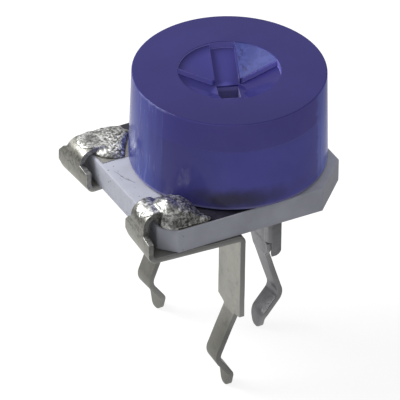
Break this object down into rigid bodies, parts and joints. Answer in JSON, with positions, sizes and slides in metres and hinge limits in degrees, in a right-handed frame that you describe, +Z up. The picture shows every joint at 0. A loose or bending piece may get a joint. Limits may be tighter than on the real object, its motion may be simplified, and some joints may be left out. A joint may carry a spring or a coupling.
{
  "type": "trimmer potentiometer",
  "caption": "Open-frame single-turn trimmer potentiometer: translucent blue rotor with a cross recess on a ceramic base, with folded snap-in leads soldered to its film.",
  "frame": {"origin": "on the rotor's axis, at the surface of the circuit board that the lead shoulders stand on", "axes": "+Z up along the rotor's axis, away from the board; -X toward the two end terminals, +X toward the wiper lead; +Y to the back"},
  "size_m": [0.0081, 0.0068, 0.011],
  "materials": {
    "ceramic": "satin sintered ceramic",
    "film": "smooth printed resistive film",
    "silver_pad": "matt printed silver",
    "tinned": "dull tinned sheet",
    "solder": "grainy bright solder",
    "rivet": "plated",
    "spring": "bright spring sheet",
    "blue_plastic": "glossy translucent moulding"
  },
  "bodies": {
    "base": {"ceramic_base": "ceramic", "resistive_track": "film", "front_end_pad": "silver_pad", "back_end_pad": "silver_pad", "front_terminal": "tinned", "back_terminal": "tinned", "wiper_terminal": "tinned", "front_solder": "solder", "back_solder": "solder", "centre_rivet": "rivet"},
    "rotor": {"wiper_contact": "spring", "rotor_cap": "blue_plastic"}
  },
  "joints": [
    {"name": "rotor_turn", "type": "hinge", "parent": "base", "child": "rotor", "pos_m": [0, 0, 0.0043], "axis": [0, 0, 1], "range_deg": [-84, 126]}
  ]
}
